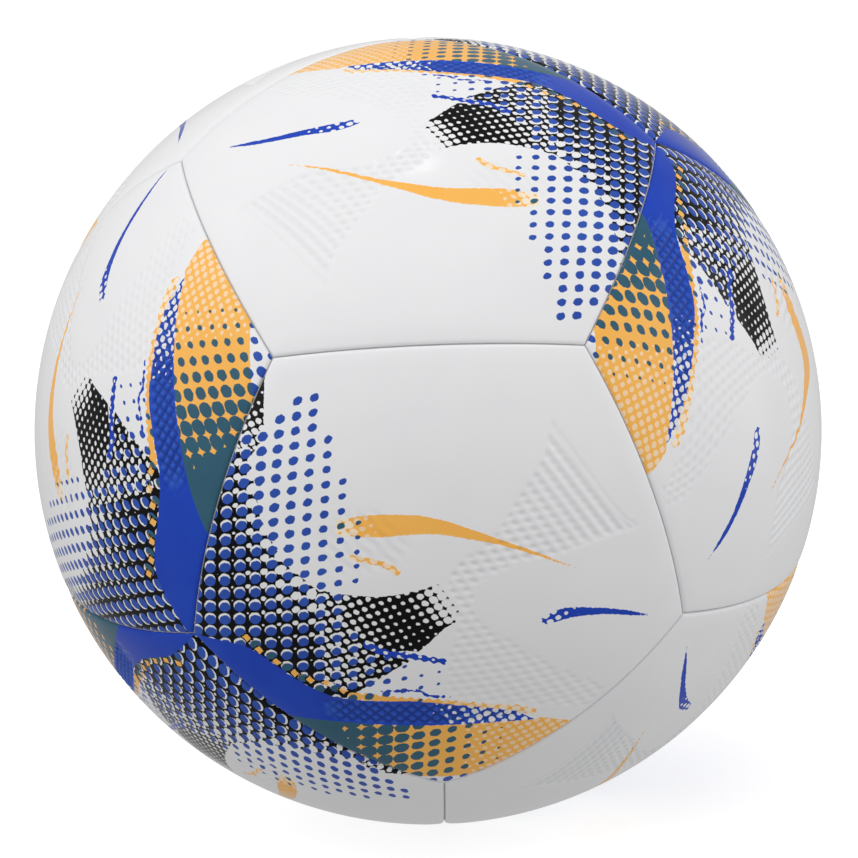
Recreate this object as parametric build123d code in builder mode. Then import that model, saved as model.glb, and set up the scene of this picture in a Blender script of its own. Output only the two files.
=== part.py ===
from build123d import *
import os
from itertools import combinations
from math import acos, asin, atan, cos, degrees, radians, sqrt, tan

# A futsal ball, size 4: twelve five-sided panels bonded over a wound carcass and a rubber bladder.
# The origin is the ball's centre. +Z runs out through a corner where three seams meet.
# The front is towards -Y, and the valve is in the panel at the back, towards +Y. All sizes are in mm.

# ---- driving dimensions -------------------------------------------------------------------------

BALL_RADIUS = 100.0

COVER_THICKNESS = 1.1
FOAM_THICKNESS = 2.8
CLOTH_THICKNESS = 0.6
CARCASS_THICKNESS = 1.1
BLADDER_THICKNESS = 0.9

SEAM_GAP = 0.3
SEAM_DEPTH = 1.0
EDGE_ROUND = 0.85

VALVE_HOLE_RADIUS = 5.0
COLLAR_RECESS = 0.1
NECK_RADIUS = 3.8
NECK_RECESS = 0.5
FLANGE_RADIUS = 12.0
FLANGE_THICKNESS = 1.0
BOSS_RADIUS = 4.6
BOSS_END = 83.0
BOSS_END_ROUND = 2.0
PATCH_RADIUS = 16.0
PATCH_THICKNESS = 0.5
PLUG_RADIUS = 2.3
PLUG_RECESS = 0.8
PLUG_END = 85.0
NEEDLE_BORE_RADIUS = 1.1
NEEDLE_BORE_LENGTH = 9.5
NEEDLE_MOUTH_RADIUS = 1.6
NEEDLE_MOUTH_ANGLE = 90.0

# ---- radii of the layers, from the outside in ---------------------------------------------------

FOAM_OUTER = BALL_RADIUS - COVER_THICKNESS
CLOTH_OUTER = FOAM_OUTER - FOAM_THICKNESS
CARCASS_OUTER = CLOTH_OUTER - CLOTH_THICKNESS
BLADDER_OUTER = CARCASS_OUTER - CARCASS_THICKNESS
BLADDER_INNER = BLADDER_OUTER - BLADDER_THICKNESS
FLANGE_INNER = BLADDER_INNER - FLANGE_THICKNESS
PATCH_OUTER = BLADDER_OUTER + PATCH_THICKNESS
SEAM_BOND_OUTER = BALL_RADIUS - SEAM_DEPTH
NEEDLE_MOUTH_DEPTH = (NEEDLE_MOUTH_RADIUS - NEEDLE_BORE_RADIUS) / tan(radians(NEEDLE_MOUTH_ANGLE / 2))

# ---- where the twelve panels sit ----------------------------------------------------------------

# Angles at the centre of a regular dodecahedron
MIDDLE_TO_EDGE = degrees(atan(2)) / 2
MIDDLE_TO_CORNER = degrees(atan(3 - sqrt(5)))
CORNER_TO_CORNER = degrees(acos(sqrt(5) / 3))

# Each ring has three panels, a third of a turn apart: the angle from +Z, and the first one's azimuth
UPPER_RING_ANGLE = MIDDLE_TO_CORNER + CORNER_TO_CORNER
PANEL_RINGS = (
    (MIDDLE_TO_CORNER, 30),
    (UPPER_RING_ANGLE, 90),
    (180 - UPPER_RING_ANGLE, 30),
    (180 - MIDDLE_TO_CORNER, 90),
)
VALVE_PANEL = 4

# Each panel's pattern starts at one of its corners. Three panels share each start, so the starts
# are the four corners of a tetrahedron, tilted with the ball to put a seam corner on +Z.
GOLDEN_RATIO = (1 + sqrt(5)) / 2
TILT = -degrees(atan(1 / GOLDEN_RATIO**2))
PATTERN_STARTS = [
    Vector(*corner).normalized().rotate(Axis.X, TILT)
    for corner in ((-1, -1, -1), (1, -1, 1), (1, 1, -1), (-1, 1, 1))
]


def panel_plane(angle_from_z, azimuth):
    """The plane of one panel: z out through its middle, x towards the corner where its pattern starts."""
    outward = Vector(0, 0, 1).rotate(Axis.Y, angle_from_z).rotate(Axis.Z, azimuth)
    start = max(PATTERN_STARTS, key=outward.dot)
    return Plane(origin=(0, 0, 0), x_dir=start - outward * start.dot(outward), z_dir=outward)


PANEL_PLANES = [
    panel_plane(angle, first_azimuth + 120 * step)
    for angle, first_azimuth in PANEL_RINGS
    for step in range(3)
]
VALVE_PLANE = PANEL_PLANES[VALVE_PANEL - 1]

# ---- the panels: cover, foam and backing cloth --------------------------------------------------

# A panel's five sides are flat and lean out from the ball's centre, half the seam gap apart from it
WEDGE_BOTTOM = 60.0
WEDGE_TOP = BALL_RADIUS + 1.0
WEDGE_APOTHEM = WEDGE_BOTTOM * tan(radians(MIDDLE_TO_EDGE)) - SEAM_GAP / 2 / cos(radians(MIDDLE_TO_EDGE))

# A sphere lying on its side has its poles and its own seam away from the panel on +Z
SPHERE_ON_ITS_SIDE = (90, 0, 0)

with BuildPart() as wedge:
    with BuildSketch(Plane.XY.offset(WEDGE_BOTTOM)):
        RegularPolygon(radius=WEDGE_APOTHEM, side_count=5, major_radius=False)
    extrude(amount=WEDGE_TOP - WEDGE_BOTTOM, taper=-MIDDLE_TO_EDGE)


def panel_layer(inner_radius, outer_radius, edge_round=0.0, hole_radius=0.0):
    """One layer of a panel, with its middle on +Z, one corner over +X, and a hole if it has the valve."""
    with BuildPart() as layer:
        add(wedge)
        Sphere(radius=outer_radius, rotation=SPHERE_ON_ITS_SIDE, mode=Mode.INTERSECT)
        Sphere(radius=inner_radius, rotation=SPHERE_ON_ITS_SIDE, mode=Mode.SUBTRACT)
        if edge_round:
            outer_face = layer.faces().filter_by(GeomType.SPHERE).sort_by(Axis.Z)[-1]
            fillet(outer_face.edges(), radius=edge_round)
        if hole_radius:
            Cylinder(radius=hole_radius, height=2 * WEDGE_TOP, mode=Mode.SUBTRACT)
    return layer


PANEL_LAYERS = {
    "cover_panel": (FOAM_OUTER, BALL_RADIUS, EDGE_ROUND),
    "foam_pad": (CLOTH_OUTER, FOAM_OUTER, 0.0),
    "backing_cloth": (CARCASS_OUTER, CLOTH_OUTER, 0.0),
}

os.makedirs("parts", exist_ok=True)

for layer_name, (inner_radius, outer_radius, edge_round) in PANEL_LAYERS.items():
    plain_layer = panel_layer(inner_radius, outer_radius, edge_round)
    valve_layer = panel_layer(inner_radius, outer_radius, edge_round, VALVE_HOLE_RADIUS)
    for number, plane in enumerate(PANEL_PLANES, start=1):
        with BuildPart(plane) as panel_piece:
            add(valve_layer if number == VALVE_PANEL else plain_layer)
        panel_piece.part.label = f"{layer_name}_{number:02d}"
        export_step(panel_piece.part, f"parts/{panel_piece.part.label}.step")

# ---- the seam bond: adhesive in the gaps, from the carcass up to the bottom of the grooves -------


def neighbours(*planes):
    """Whether these panels all lie side by side."""
    return all(
        first.z_dir.get_angle(second.z_dir) < 2.5 * MIDDLE_TO_EDGE
        for first, second in combinations(planes, 2)
    )


def seam_plane(first, second):
    """The plane of one seam: z out through its middle, x along it."""
    outward = (first.z_dir + second.z_dir).normalized()
    return Plane(origin=(0, 0, 0), x_dir=first.z_dir.cross(second.z_dir), z_dir=outward)


def corner_plane(first, second, third):
    """The plane of one corner of three panels: z out through it, x towards the middle of the third."""
    outward = (first.z_dir + second.z_dir + third.z_dir).normalized()
    return Plane(origin=(0, 0, 0), x_dir=third.z_dir - outward * third.z_dir.dot(outward), z_dir=outward)


# The three beads that meet at a corner stop at the sides of a small three-sided plug
PLUG_APOTHEM = SEAM_GAP / 2 / sqrt(3)
BEAD_HALF_ANGLE = CORNER_TO_CORNER / 2 - degrees(asin(PLUG_APOTHEM / CARCASS_OUTER))

with BuildPart() as seam_bead:
    with BuildSketch(Plane.XZ):
        with BuildLine():
            top = CenterArc((0, 0), SEAM_BOND_OUTER, 90 - BEAD_HALF_ANGLE, 2 * BEAD_HALF_ANGLE)
            bottom = CenterArc((0, 0), CARCASS_OUTER, 90 - BEAD_HALF_ANGLE, 2 * BEAD_HALF_ANGLE)
            Line(top @ 0, bottom @ 0)
            Line(top @ 1, bottom @ 1)
        make_face()
    extrude(amount=SEAM_GAP / 2, both=True)

with BuildPart() as corner_plug:
    with BuildSketch(Plane.XY.offset(CARCASS_OUTER)):
        RegularPolygon(radius=PLUG_APOTHEM, side_count=3, major_radius=False, align=None)
    extrude(amount=SEAM_BOND_OUTER - CARCASS_OUTER)

SEAM_PLANES = [seam_plane(*pair) for pair in combinations(PANEL_PLANES, 2) if neighbours(*pair)]
CORNER_PLANES = [corner_plane(*trio) for trio in combinations(PANEL_PLANES, 3) if neighbours(*trio)]
seam_bond = Compound(
    [plane.location * seam_bead.part.solid() for plane in SEAM_PLANES]
    + [plane.location * corner_plug.part.solid() for plane in CORNER_PLANES]
)

# ---- carcass, bladder and valve, all on the valve's axis ----------------------------------------

FROM_CENTRE = (Align.CENTER, Align.CENTER, Align.MIN)
PLUG_OUTER = BALL_RADIUS - PLUG_RECESS
NECK_OUTER = BALL_RADIUS - NECK_RECESS

with BuildPart(VALVE_PLANE) as valve_patch:
    Cylinder(radius=PATCH_RADIUS, height=BALL_RADIUS, align=FROM_CENTRE)
    Sphere(radius=PATCH_OUTER, mode=Mode.INTERSECT)
    Sphere(radius=BLADDER_OUTER, mode=Mode.SUBTRACT)
    Cylinder(radius=NECK_RADIUS, height=BALL_RADIUS, align=FROM_CENTRE, mode=Mode.SUBTRACT)

# The wound carcass has a shallow pocket for the valve patch
with BuildPart(VALVE_PLANE) as carcass:
    Sphere(radius=CARCASS_OUTER)
    Sphere(radius=BLADDER_OUTER, mode=Mode.SUBTRACT)
    Cylinder(radius=NECK_RADIUS, height=BALL_RADIUS, align=FROM_CENTRE, mode=Mode.SUBTRACT)
    add(VALVE_PLANE.location.inverse() * valve_patch.part, mode=Mode.SUBTRACT)

with BuildPart(VALVE_PLANE) as bladder:
    Sphere(radius=BLADDER_OUTER)
    Sphere(radius=BLADDER_INNER, mode=Mode.SUBTRACT)
    Cylinder(radius=NECK_RADIUS, height=BALL_RADIUS, align=FROM_CENTRE, mode=Mode.SUBTRACT)

# A flange bonded inside the bladder, a boss that hangs from it, and a neck out to the cover
with BuildPart(VALVE_PLANE) as valve_body:
    Cylinder(radius=FLANGE_RADIUS, height=BALL_RADIUS, align=FROM_CENTRE)
    Sphere(radius=BLADDER_INNER, mode=Mode.INTERSECT)
    Sphere(radius=FLANGE_INNER, mode=Mode.SUBTRACT)
    with Locations((0, 0, BOSS_END)):
        Cylinder(radius=BOSS_RADIUS, height=FLANGE_INNER - BOSS_END, align=FROM_CENTRE)
    fillet(valve_body.edges().group_by(Axis(VALVE_PLANE.origin, VALVE_PLANE.z_dir))[0], radius=BOSS_END_ROUND)
    with Locations((0, 0, FLANGE_INNER)):
        Cylinder(radius=NECK_RADIUS, height=NECK_OUTER - FLANGE_INNER, align=FROM_CENTRE)
    with Locations((0, 0, PLUG_END)):
        Cylinder(radius=PLUG_RADIUS, height=BALL_RADIUS - PLUG_END, align=FROM_CENTRE, mode=Mode.SUBTRACT)

# The core that closes behind the needle. Its channel is open to the needle's length and shut below it.
with BuildPart(VALVE_PLANE) as valve_plug:
    with Locations((0, 0, PLUG_END)):
        Cylinder(radius=PLUG_RADIUS, height=PLUG_OUTER - PLUG_END, align=FROM_CENTRE)
    with Locations((0, 0, PLUG_OUTER)):
        CounterSinkHole(
            radius=NEEDLE_BORE_RADIUS,
            counter_sink_radius=NEEDLE_MOUTH_RADIUS,
            counter_sink_angle=NEEDLE_MOUTH_ANGLE,
            depth=NEEDLE_MOUTH_DEPTH + NEEDLE_BORE_LENGTH,
        )

with BuildPart(VALVE_PLANE) as valve_collar:
    Cylinder(radius=VALVE_HOLE_RADIUS, height=BALL_RADIUS, align=FROM_CENTRE)
    Sphere(radius=BALL_RADIUS - COLLAR_RECESS, mode=Mode.INTERSECT)
    Sphere(radius=CARCASS_OUTER, mode=Mode.SUBTRACT)
    Cylinder(radius=NECK_RADIUS, height=BALL_RADIUS, align=FROM_CENTRE, mode=Mode.SUBTRACT)

SINGLE_PIECES = {
    "seam_bond": seam_bond,
    "carcass": carcass.part,
    "bladder": bladder.part,
    "valve_patch": valve_patch.part,
    "valve_body": valve_body.part,
    "valve_plug": valve_plug.part,
    "valve_collar": valve_collar.part,
}

for piece_name, piece in SINGLE_PIECES.items():
    piece.label = piece_name
    export_step(piece, f"parts/{piece_name}.step")

# The needle bore's middle and direction, in metres, for whoever fits a pump needle to it
bore_middle = PLUG_OUTER - NEEDLE_MOUTH_DEPTH - NEEDLE_BORE_LENGTH / 2
print("needle bore middle (m):", VALVE_PLANE.z_dir * bore_middle / 1000)
print("needle bore axis:", VALVE_PLANE.z_dir)
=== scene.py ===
import math

import bpy
import numpy as np
from mathutils import Matrix, Vector


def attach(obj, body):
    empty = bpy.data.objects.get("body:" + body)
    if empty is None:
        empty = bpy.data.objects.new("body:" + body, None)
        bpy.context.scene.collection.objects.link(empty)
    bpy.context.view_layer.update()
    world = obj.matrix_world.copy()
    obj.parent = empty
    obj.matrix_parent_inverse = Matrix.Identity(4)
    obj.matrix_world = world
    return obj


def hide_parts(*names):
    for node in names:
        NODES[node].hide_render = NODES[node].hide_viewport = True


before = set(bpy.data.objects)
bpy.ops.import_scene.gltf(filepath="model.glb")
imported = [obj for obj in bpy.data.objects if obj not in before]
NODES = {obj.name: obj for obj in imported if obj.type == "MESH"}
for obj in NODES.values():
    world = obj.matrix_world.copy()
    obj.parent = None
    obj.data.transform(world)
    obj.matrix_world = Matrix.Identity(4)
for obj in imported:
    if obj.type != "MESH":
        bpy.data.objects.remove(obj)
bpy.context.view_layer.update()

# ---------------------------------------------------------------------------------------------------------
# Driving dimensions, in millimetres. new_mesh() turns them into metres.
# ---------------------------------------------------------------------------------------------------------
MM = 0.001
BALL_RADIUS = 100.0
COVER_INNER_RADIUS = 98.9
HALF_SEAM = 0.15  # half the gap between two panels
EDGE_ROUND = 0.85  # the panels' edges roll over within this width
EDGE_DROP = 0.55  # and by this much
EDGE_SHOULDER = 0.3  # and sink this much more towards the seam
SHOULDER_WIDTH = 4.5
GOLDEN_RATIO = (1 + math.sqrt(5)) / 2

# Angles of a regular dodecahedron, seen from its middle
SIDES = 5
MIDDLE_TO_EDGE = math.atan(2) / 2
MIDDLE_TO_CORNER = math.atan(3 - math.sqrt(5))
UPPER_RING_ANGLE = MIDDLE_TO_CORNER + math.acos(math.sqrt(5) / 3)
# The rings of panels, three in each: the angle from +Z, and the first panel's azimuth in degrees
PANEL_RINGS = (
    (MIDDLE_TO_CORNER, 30),
    (UPPER_RING_ANGLE, 90),
    (math.pi - UPPER_RING_ANGLE, 30),
    (math.pi - MIDDLE_TO_CORNER, 90),
)
VALVE_PANEL = 4
VALVE_HOLE_RADIUS = 5.0
HOLE_ROUND = 0.35

# The mesh of a cover panel: rows of small triangles from its middle out, then rings that roll over its edge
ROWS = 128
EDGE_ZONE = 3.0
ZONE_RINGS = 8
ROUND_RINGS = 7
INNER_RINGS = 6
INNER_RIM_INSET = 1.0
INNER_FAN_RADIUS = 2.0
HOLE_ROWS = 14  # rows left out of the valve panel's middle
TINY = 1e-9  # lengths below this count as nothing


def unit(vectors):
    return vectors / np.linalg.norm(vectors, axis=-1, keepdims=True)


def smooth_step(values, low, high):
    """0 below low, 1 above high, and a smooth ramp between them."""
    ramp = np.clip((values - low) / (high - low), 0, 1)
    return ramp * ramp * (3 - 2 * ramp)


# ---------------------------------------------------------------------------------------------------------
# Where the panels sit
# ---------------------------------------------------------------------------------------------------------
TILT = -math.atan(1 / GOLDEN_RATIO**2)
PATTERN_STARTS = [
    np.array(Matrix.Rotation(TILT, 3, "X") @ Vector(corner).normalized())
    for corner in ((-1, -1, -1), (1, -1, 1), (1, 1, -1), (-1, 1, 1))
]


def panel_axes(polar, azimuth):
    """A panel's axes: out through its middle, towards the corner where its pattern starts, and across."""
    outward = np.array(
        [math.sin(polar) * math.cos(azimuth), math.sin(polar) * math.sin(azimuth), math.cos(polar)]
    )
    start = max(PATTERN_STARTS, key=outward.dot)
    along = unit(start - outward * start.dot(outward))
    return outward, along, np.cross(outward, along)


PANELS = [
    panel_axes(polar, math.radians(first_azimuth + 120 * step))
    for polar, first_azimuth in PANEL_RINGS
    for step in range(3)
]

# ---------------------------------------------------------------------------------------------------------
# Outlines on the flat print of a panel. x and y are arc lengths on the ball, in mm, from the panel's middle.
# The print lies turned by PRINT_TURN from the panel's pattern corner.
# ---------------------------------------------------------------------------------------------------------
PRINT_TURN = math.radians(198)
CURVE_STEPS = 6


def curve(*points):
    """A smooth Catmull-Rom line through the points."""
    knots = np.array([points[0], *points, points[-1]], float)
    if len(points) == 2:
        return knots[1:3]
    line = []
    for before, start, end, after in zip(knots, knots[1:], knots[2:], knots[3:]):
        for t in np.arange(CURVE_STEPS) / CURVE_STEPS:
            line.append(
                0.5
                * (
                    2 * start
                    + (end - before) * t
                    + (2 * before - 5 * start + 4 * end - after) * t**2
                    + (3 * start - before - 3 * end + after) * t**3
                )
            )
    return np.array([*line, knots[-1]])


def inside(at, *stretches):
    """How far each point lies inside the outline that the stretches make, in mm. Outside it is negative."""
    outline = np.concatenate([np.asarray(stretch, float) for stretch in stretches])
    nearest = np.full(len(at), np.inf)
    within = np.zeros(len(at), bool)
    for start, end in zip(outline, np.roll(outline, -1, axis=0)):
        along = end - start
        length = along @ along
        if length < TINY:
            continue
        share = np.clip((at - start) @ along / length, 0, 1)
        gap = at - start - share[:, None] * along
        nearest = np.minimum(nearest, (gap * gap).sum(axis=1))
        if along[1]:
            crosses = (start[1] > at[:, 1]) != (end[1] > at[:, 1])
            within ^= crosses & (at[:, 0] < start[0] + along[0] * (at[:, 1] - start[1]) / along[1])
    return np.where(within, 1, -1) * np.sqrt(nearest)


def stroke(at, line, half_width):
    """How far each point lies inside a brush stroke, in mm. half_width has a value for each end."""
    best = np.full(len(at), -np.inf)
    widths = np.linspace(half_width[0], half_width[1], len(line))
    for start, end, width, next_width in zip(line, line[1:], widths, widths[1:]):
        along = end - start
        share = np.clip((at - start) @ along / (along @ along), 0, 1)
        gap = np.linalg.norm(at - start - share[:, None] * along, axis=1)
        best = np.maximum(best, width + (next_width - width) * share - gap)
    return best


# ---------------------------------------------------------------------------------------------------------
# Halftone lattices: two steps from one dot to the next, and the place of one dot
# ---------------------------------------------------------------------------------------------------------
class Lattice:
    def __init__(self, step, other_step, origin):
        self.steps = np.array([step, other_step]).T
        self.origin = np.array(origin)
        self.inverse = np.linalg.inv(self.steps)
        self.size = math.sqrt(abs(np.linalg.det(self.steps)))

    def nearest(self, at):
        """The middle of the cell that each point is in."""
        cell = np.round((at - self.origin) @ self.inverse.T)
        return cell @ self.steps.T + self.origin

    def shifted(self, x, y):
        return Lattice(self.steps[:, 0], self.steps[:, 1], self.origin + (x, y))


DOTS = Lattice((-0.27, -3.45), (4.08, 0.87), (-28.3, 33.2))
DOT_GAPS = DOTS.shifted(*(DOTS.steps.sum(axis=1) / 2))
CRESCENTS = DOTS.shifted(-0.1, 0.5)
HOLES = Lattice((1.95, 0.8), (1.05, -1.7), (-7.0, -10.0))

# ---------------------------------------------------------------------------------------------------------
# The print
# ---------------------------------------------------------------------------------------------------------
RIBBON_TOP = curve(
    (-70, -20), (-50, -19.5), (-45, -20.5), (-40, -23.5), (-35, -27), (-30, -29.7), (-24, -31.6),
    (-15, -31.8), (-7, -31.6), (0, -32.7), (10, -34.7), (17, -37.2), (22.5, -41),
)
RIBBON_BOTTOM = curve((22, -41), (10, -40), (-15, -39.7), (-36, -40), (-70, -44))
SWOOSH_TOP = curve((-23, 15.6), (-14, 17), (-5, 16.8), (0, 15.8), (5, 14.2), (15, 9.8), (25, 4.9), (33, 0.3))
SWOOSH_BOTTOM = curve(
    (33, 0.3), (25, 4.2), (15, 8.5), (5, 11.3), (0, 12.2), (-5, 12.4), (-15, 11.7), (-23, 12.2),
)
BLUE_SWOOSH_TOP = curve(
    (22.8, -11), (28, -9), (31.5, -9.3), (35, -10), (40, -11.4), (45, -13.2), (52.5, -17),
)
BLUE_SWOOSH_BOTTOM = curve((52.5, -17), (45, -14.6), (40, -13), (35, -12.1), (30.5, -11.9), (24.5, -12.6))
# Brush strokes: (line, half its width at either end, how ragged its edges are)
ORANGE_DASH = (curve((-19.5, 6.8), (-15.5, 6), (-12, 5.2), (-9.2, 3.4)), (0.6, 0.8), 0.0)
BLUE_STROKES = (
    (curve((-17, -15.3), (-13, -17.3), (-8, -18), (-4, -18.9), (0.8, -20)), (0.95, 0.7), 0.25),
    (curve((-14, -28.6), (-9, -28.4), (-5.5, -28.3), (-3.5, -29.8), (0.3, -30.4)), (0.3, 0.4), 0.15),
    (curve((2.0, -30.7), (2.9, -30.7)), (0.35, 0.3), 0.0),
)
RAGGED_PITCH = 2.2
STRIP = (
    *curve(
        (-49, -17.5), (-46.5, -15.8), (-42, -18.6), (-36, -23.2), (-30, -26.2), (-23, -28.4),
        (-12, -29.6), (0, -30.8), (12, -33.2), (20, -35.3), (24.5, -38.5),
    ),
    *curve(
        (22, -40), (15, -37), (0, -33.5), (-15, -32.5), (-24, -32), (-32, -29.5), (-40, -24.5), (-46, -21),
    ),
)
STARS_RIGHT = -22.0  # left of this the strip is stars and the bits between dots, right of it a fringe
FRINGE_INSET = 0.6
FRINGE_DEPTH = 0.35
FRINGE_PITCH = 2.1
STARS = (
    (-46.5, -17), (-43.5, -20), (-39.3, -22.7), (-35, -25.3), (-31.2, -26.8), (-27.2, -27.2), (-23.3, -29),
)
STAR_SIZE = 1.35  # from a star's middle to its points, in mm
STAR_POINT = 0.8  # under 1 draws its sides in
STAR_RIM = 0.35  # the dots end this far from a star
DOT_RIM = 0.1  # and the strip's orange this far from a dot
FIELD_RIGHT = ((22, -41), (24, -40.6), (33, -44.8), (50, -52), (50, -80), (-50, -80), (-50, -39))
BLACK_ZONE = (
    (-80, 50), (-40.2, 50), (-40, 34), (-43.5, 29), (-42, 20), (-40, 12), (-35, 4), (-28, -1.5), (-22, -2.3),
    (-14, -2.7), (-10, -2.2), (-5, -1.2), (0, 0.4), (4.5, -6.7), (3.5, -9.5), (1, -11), (-2, -14), (-5, -17),
    (-9, -16.8), (-12, -17.8), (-7, -19.5), (-10, -21.5), (-14, -24.5), (-19, -28.5), (-23, -31.5),
    (-80, -31.5),
)
# The line that the black web ends along
WEB_END = np.array(
    [(-44, 34), (-43.5, 29), (-42, 20), (-40, 12), (-35, 4), (-28, -1.5), (-20, -4), (-10, -12)]
)
DOT_ZONE = (
    (-80, 35.8), (-39, 36), (-38.6, 40), (-34.6, 40.5), (-34, 45), (-26.3, 45.5), (-26.1, 36), (-22.6, 35.5),
    (-22.5, 26), (-19.2, 26), (-19, 16.7), (-15.5, 16.5), (-15.5, -0.5), (-19, -0.5), (-22, -3), (-20.5, -9),
    (-19.5, -13), (-16, -15), (-8, -19), (1.5, -22.5), (1.5, -30), (-5, -37), (-80, -37),
)
PATCH_LEFT = -28.0  # the fine holes of the black patch start here
PATCH_TIP = np.array([3.6, -6.0])
PATCH_HEADING = np.array([0.88, 0.47])
PATCH_MIDDLE = -10.0  # above this the patch's holes grow towards its tip
PATCH_CORNER = (6.0, 0.6)  # the patch is left of this and below it
LOW_PRINT_TOP = -29.0  # the strip, the ribbon and the field are below this
STRIP_BOTTOM = -33.0
SWOOSH_CORNER = (-24.0, 20.0)  # both swooshes and the orange dash are right of this and below it
BLUE_SWOOSH_CORNER = (15.0, -5.0)  # the blue swoosh is right of this and below it
ORANGE_SWOOSH_BASE = 8.0
NO_INK = -9.0
NO_DOT = -0.3
FIELD_TOP = -34.5
FIELD_BOTTOM = -60.8
# Radius of the blue dots in mm against x, first above the ribbon and then below it
DOT_RADII = (
    (-62, 1.45), (-50, 1.35), (-41, 1.24), (-32, 1.1), (-24.4, 0.95), (-21, 0.82), (-17.5, 0.55), (-10, 0.4),
)
FIELD_DOT_RADII = (
    (-27, 2.2), (-22, 2.05), (-17, 1.93), (-12, 1.86), (-7, 1.54), (-3, 1.36), (1, 1.15), (5, 0.93),
    (9, 0.68), (13, 0.42), (16, 0),
)
FIELD_SOLID = ((-26.5, -34.5), (-18, -58), (-40, -90), (-60, -34.5))
SOLID_DOT = 3.0  # a radius that leaves nothing between the dots
DOT_ZONE_LEAN = 11.0  # the dots' sizes reach this much further right at the ribbon than at y = 0
DOT_ZONE_DEPTH = 26.0  # how far below y = 0 they do
# Radius of the white gaps in mm against the distance from the web's end, and how that distance counts by y
GAP_RADII = ((0, 1.55), (4, 1.2), (8, 0.85), (12, 0.6), (16, 0.35), (20, 0))
GAP_SPREAD = ((-2, 1), (8, 1.9))
GAP_TOP = 31.0
CORNER_RIGHT = -39.0  # above GAP_TOP, the black has fine holes left of this
# Radius of the fine holes in mm against x, the tip's against the distance from it and the corner's against y
PATCH_HOLES = ((-28, 0.8), (-20, 0.68), (-15, 0.56), (-10, 0.43), (-6, 0.32), (2, 0.3))
TIP_HOLES = ((0, 1.2), (3, 0.95), (7, 0.6), (11, 0.35))
RIBBON_HOLES = ((-4, 0), (-2, 0.2), (3, 0.55), (8, 0.75))
FIELD_HOLES = ((4, 0), (6, 0.45), (12, 0.62), (26, 0.78))
FRINGE_HOLES = ((-2, 0), (2, 0.75), (12, 0.9), (24, 0.95))
SWOOSH_HOLES = ((-24, 1.3), (-19, 0.9), (-14.5, 0.42), (-13, 0))
BLUE_SWOOSH_HOLES = ((22, 1.1), (26, 0.72), (31.5, 0.32), (33, 0))
CORNER_HOLES = ((31, 0.95), (37, 0.8), (43, 0.3))
DASH_HOLES = 0.85


def table(values, pairs):
    known, wanted = zip(*pairs)
    return np.interp(values, known, wanted)


def dot_radius(at, field_slip):
    """Radius of the dot in each point's cell, in mm. field_slip is how far right the field's sizes lie."""
    middle = DOTS.nearest(at)
    x, y = middle.T
    lean = DOT_ZONE_LEAN * np.clip(-y / DOT_ZONE_DEPTH, 0, 1)
    radius = table(x - lean, DOT_RADII) * (inside(middle, DOT_ZONE) > 0)
    in_field = table(x - field_slip, FIELD_DOT_RADII)
    in_field = np.where(inside(at, FIELD_SOLID) > 0, SOLID_DOT, in_field)
    return np.where(y < FIELD_TOP, in_field, radius)


def gap_radius(at):
    """Radius of the white gaps between the black web's dots, in mm: they grow towards the web's end."""
    x, y = at.T
    from_end = -stroke(at, WEB_END, (0, 0))
    radius = table(from_end * table(y, GAP_SPREAD), GAP_RADII)
    return np.where((y > GAP_TOP) | (x > PATCH_LEFT), 0, radius)


def hole_radius(at):
    """Radius of the fine holes in mm: in the black patch, the ribbon's end, the field and the swooshes."""
    x, y = at.T
    patch = table(x, PATCH_HOLES)
    from_tip = np.clip((PATCH_TIP - at) @ PATCH_HEADING, 0, None)
    patch = np.where(y > PATCH_MIDDLE, np.maximum(patch, table(from_tip, TIP_HOLES)), patch)
    patch = np.where(x < PATCH_LEFT, 0, patch)
    in_fringe = (inside(at, STRIP) > 0) | (y > STRIP_BOTTOM)
    beside_ribbon = np.where(in_fringe, table(x, FRINGE_HOLES), table(x, FIELD_HOLES))
    low = np.where(inside(at, RIBBON_TOP, RIBBON_BOTTOM) > 0, table(x, RIBBON_HOLES), beside_ribbon)
    right = x > BLUE_SWOOSH_CORNER[0]
    upper = np.select(
        [right & (y < BLUE_SWOOSH_CORNER[1]), right, y > ORANGE_SWOOSH_BASE],
        [table(x, BLUE_SWOOSH_HOLES), 0, table(x, SWOOSH_HOLES)],
        DASH_HOLES,
    )
    in_patch = (x < PATCH_CORNER[0]) & (y < PATCH_CORNER[1])
    by_swooshes = (x > SWOOSH_CORNER[0]) & (y < SWOOSH_CORNER[1])
    in_corner = (x < CORNER_RIGHT) & (y > GAP_TOP)
    return np.select(
        [y < LOW_PRINT_TOP, in_patch, by_swooshes, in_corner], [low, patch, upper, table(y, CORNER_HOLES)], 0
    )


def star_depth(at):
    """How far inside the nearest of the stars above the ribbon each point lies, in mm."""
    reach = np.abs(at[:, None] - STARS) ** STAR_POINT
    return STAR_SIZE - reach.sum(axis=2).min(axis=1) ** (1 / STAR_POINT)


def in_steps(radius, lattice):
    """A radius in mm turned into lattice steps. Where there is no dot it is well under zero."""
    return np.where(radius > 0, radius / lattice.size, NO_DOT)


# The print doesn't sit in quite the same place on every panel. These are in mm for the panels that differ:
# how far the print is off, how much further its dots are off, and how far right the field's sizes lie.
PRINT_SHIFTS = {3: (-4.4, 3.5), 5: (1.5, 1.0), 6: (-6.0, -2.0), 11: (-2.5, 0.8)}
DOT_SHIFTS = {5: (-1.2, -0.3)}
FIELD_SLIPS = {3: -4.5}
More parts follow.
